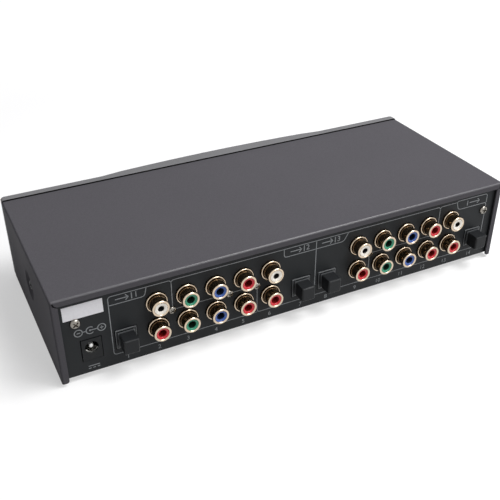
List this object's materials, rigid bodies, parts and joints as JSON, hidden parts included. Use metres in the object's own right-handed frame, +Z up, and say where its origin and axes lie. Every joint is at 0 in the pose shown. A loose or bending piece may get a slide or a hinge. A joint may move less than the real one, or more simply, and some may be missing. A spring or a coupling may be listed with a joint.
{
  "type": "signal selector box",
  "caption": "Low steel box with a bowed fascia, push keys, and a rear panel of phono and optical sockets that selects one of several audio and video inputs.",
  "frame": {"origin": "middle of the bounding box on the surface the feet stand on", "axes": "+X along the box towards the power inlet, +Y out of the rear panel, +Z up"},
  "size_m": [0.24, 0.1116, 0.0465],
  "materials": {
    "cover_paint": "satin",
    "panel_paint": "satin",
    "fascia_plastic": "fine grain",
    "key_plastic": "smooth",
    "switch_plastic": "plain",
    "dark_lens": "polished",
    "pipe_plastic": "polished",
    "lamp_plastic": "polished",
    "board_laminate": "lacquered",
    "spacer_metal": "turned",
    "nickel_screw": "plated",
    "black_screw": "blackened",
    "block_plastic": "moulded",
    "socket_plastic": "moulded",
    "plug_plastic": "moulded",
    "gilt": "plated",
    "insert_white": "moulded",
    "insert_red": "moulded",
    "insert_green": "moulded",
    "insert_blue": "moulded",
    "ferrule_plastic": "polished",
    "foot_rubber": "matte",
    "chip_resin": "moulded",
    "can_sleeve": "shrunk sleeve",
    "header_plastic": "moulded",
    "ribbon_plastic": "ribbed"
  },
  "bodies": {
    "case": {"cover": "cover_paint", "base_pan": "cover_paint", "rear_panel": "panel_paint", "fascia": "fascia_plastic", "ir_window": "dark_lens", "light_pipes": "pipe_plastic", "indicator_lamps": "lamp_plastic", "ir_receiver": "dark_lens", "front_board": "board_laminate", "front_board_spacers": "spacer_metal", "switch_bodies": "switch_plastic", "main_board": "board_laminate", "board_standoffs": "spacer_metal", "optical_ferrules": "ferrule_plastic", "power_inlet": "socket_plastic", "power_inlet_pin": "nickel_screw", "power_inlet_contact": "nickel_screw", "panel_screws": "nickel_screw", "cover_screws": "black_screw", "phono_block_screws_1": "nickel_screw", "phono_block_screws_2": "nickel_screw", "rubber_feet": "foot_rubber", "video_switches": "chip_resin", "audio_switch": "chip_resin", "controller": "chip_resin", "regulator": "chip_resin", "capacitors": "can_sleeve", "board_headers": "header_plastic", "ribbon_cable": "ribbon_plastic", "phono_block_1": "block_plastic", "phono_block_2": "block_plastic", "phono_shells_1": "gilt", "phono_shells_2": "gilt", "phono_inserts_white": "insert_white", "phono_inserts_red": "insert_red", "phono_inserts_green": "insert_green", "phono_inserts_blue": "insert_blue", "optical_socket_1": "socket_plastic", "optical_socket_2": "socket_plastic", "optical_socket_3": "socket_plastic", "optical_socket_4": "socket_plastic"},
    "dust_plug_1": {"dust_plug_1": "plug_plastic"},
    "dust_plug_2": {"dust_plug_2": "plug_plastic"},
    "dust_plug_3": {"dust_plug_3": "plug_plastic"},
    "dust_plug_4": {"dust_plug_4": "plug_plastic"},
    "standby_push": {"standby_key": "key_plastic", "standby_plunger": "switch_plastic"},
    "input_1_push": {"input_1_key": "key_plastic", "input_1_plunger": "switch_plastic"},
    "input_2_push": {"input_2_key": "key_plastic", "input_2_plunger": "switch_plastic"},
    "input_3_push": {"input_3_key": "key_plastic", "input_3_plunger": "switch_plastic"}
  },
  "joints": [
    {"name": "dust_plug_1_pull", "type": "slide", "parent": "case", "child": "dust_plug_1", "axis": [0, 1, 0], "range_m": [0, 0.02]},
    {"name": "dust_plug_2_pull", "type": "slide", "parent": "case", "child": "dust_plug_2", "axis": [0, 1, 0], "range_m": [0, 0.02]},
    {"name": "dust_plug_3_pull", "type": "slide", "parent": "case", "child": "dust_plug_3", "axis": [0, 1, 0], "range_m": [0, 0.02]},
    {"name": "dust_plug_4_pull", "type": "slide", "parent": "case", "child": "dust_plug_4", "axis": [0, 1, 0], "range_m": [0, 0.02]},
    {"name": "standby_press", "type": "slide", "parent": "case", "child": "standby_push", "axis": [0, 1, 0], "range_m": [0, 0.0008], "stiffness_N_per_m": 400},
    {"name": "input_1_press", "type": "slide", "parent": "case", "child": "input_1_push", "axis": [0, 1, 0], "range_m": [0, 0.0008], "stiffness_N_per_m": 400},
    {"name": "input_2_press", "type": "slide", "parent": "case", "child": "input_2_push", "axis": [0, 1, 0], "range_m": [0, 0.0008], "stiffness_N_per_m": 400},
    {"name": "input_3_press", "type": "slide", "parent": "case", "child": "input_3_push", "axis": [0, 1, 0], "range_m": [0, 0.0008], "stiffness_N_per_m": 400}
  ]
}
